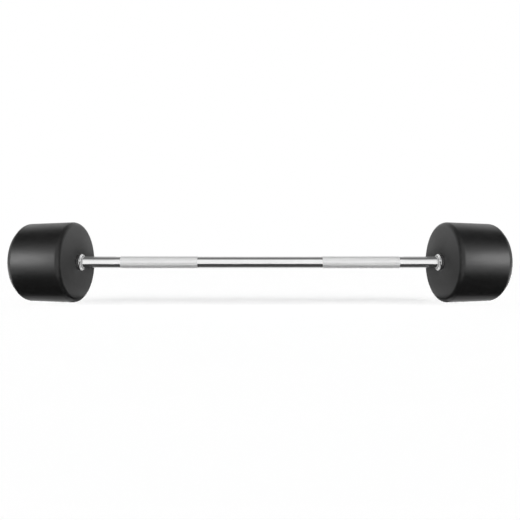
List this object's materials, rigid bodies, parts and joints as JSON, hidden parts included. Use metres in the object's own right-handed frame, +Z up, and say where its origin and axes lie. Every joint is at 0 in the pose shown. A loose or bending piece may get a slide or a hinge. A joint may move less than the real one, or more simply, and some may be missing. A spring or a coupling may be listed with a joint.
{
  "type": "fixed barbell",
  "caption": "Fixed straight barbell with a chromed knurled bar and a rubber-covered drum head bolted to each end.",
  "frame": {"origin": "middle of the bar's axis, half way between the two heads", "axes": "+X along the bar towards the right head, +Y away from someone who stands behind the camera, +Z up when the barbell lies on the floor"},
  "size_m": [1.108, 0.1904, 0.1904],
  "materials": {
    "bar_chrome": "bright hard chrome, with two diamond-knurled grips",
    "collar_chrome": "polished chrome",
    "head_rubber": "satin moulded black rubber with a fine grain",
    "disc_steel": "profile-cut plate steel",
    "ground_steel": "ground bright steel",
    "black_steel": "black oxide on high-tensile steel",
    "cap_plastic": "moulded matte black plastic"
  },
  "bodies": {
    "root": {"bar": "bar_chrome", "collar_right": "collar_chrome", "collar_left": "collar_chrome", "head_cover_right": "head_rubber", "head_cover_left": "head_rubber", "core_disc_inner_right": "disc_steel", "core_disc_middle_right": "disc_steel", "core_disc_outer_right": "disc_steel", "core_disc_inner_left": "disc_steel", "core_disc_middle_left": "disc_steel", "core_disc_outer_left": "disc_steel", "dowel_pin_front_right": "ground_steel", "dowel_pin_back_right": "ground_steel", "dowel_pin_front_left": "ground_steel", "dowel_pin_back_left": "ground_steel", "drive_key_right": "ground_steel", "drive_key_left": "ground_steel", "retaining_washer_right": "ground_steel", "retaining_washer_left": "ground_steel", "spring_washer_right": "black_steel", "spring_washer_left": "black_steel", "end_screw_right": "black_steel", "end_screw_left": "black_steel", "end_cap_right": "cap_plastic", "end_cap_left": "cap_plastic"}
  },
  "joints": []
}
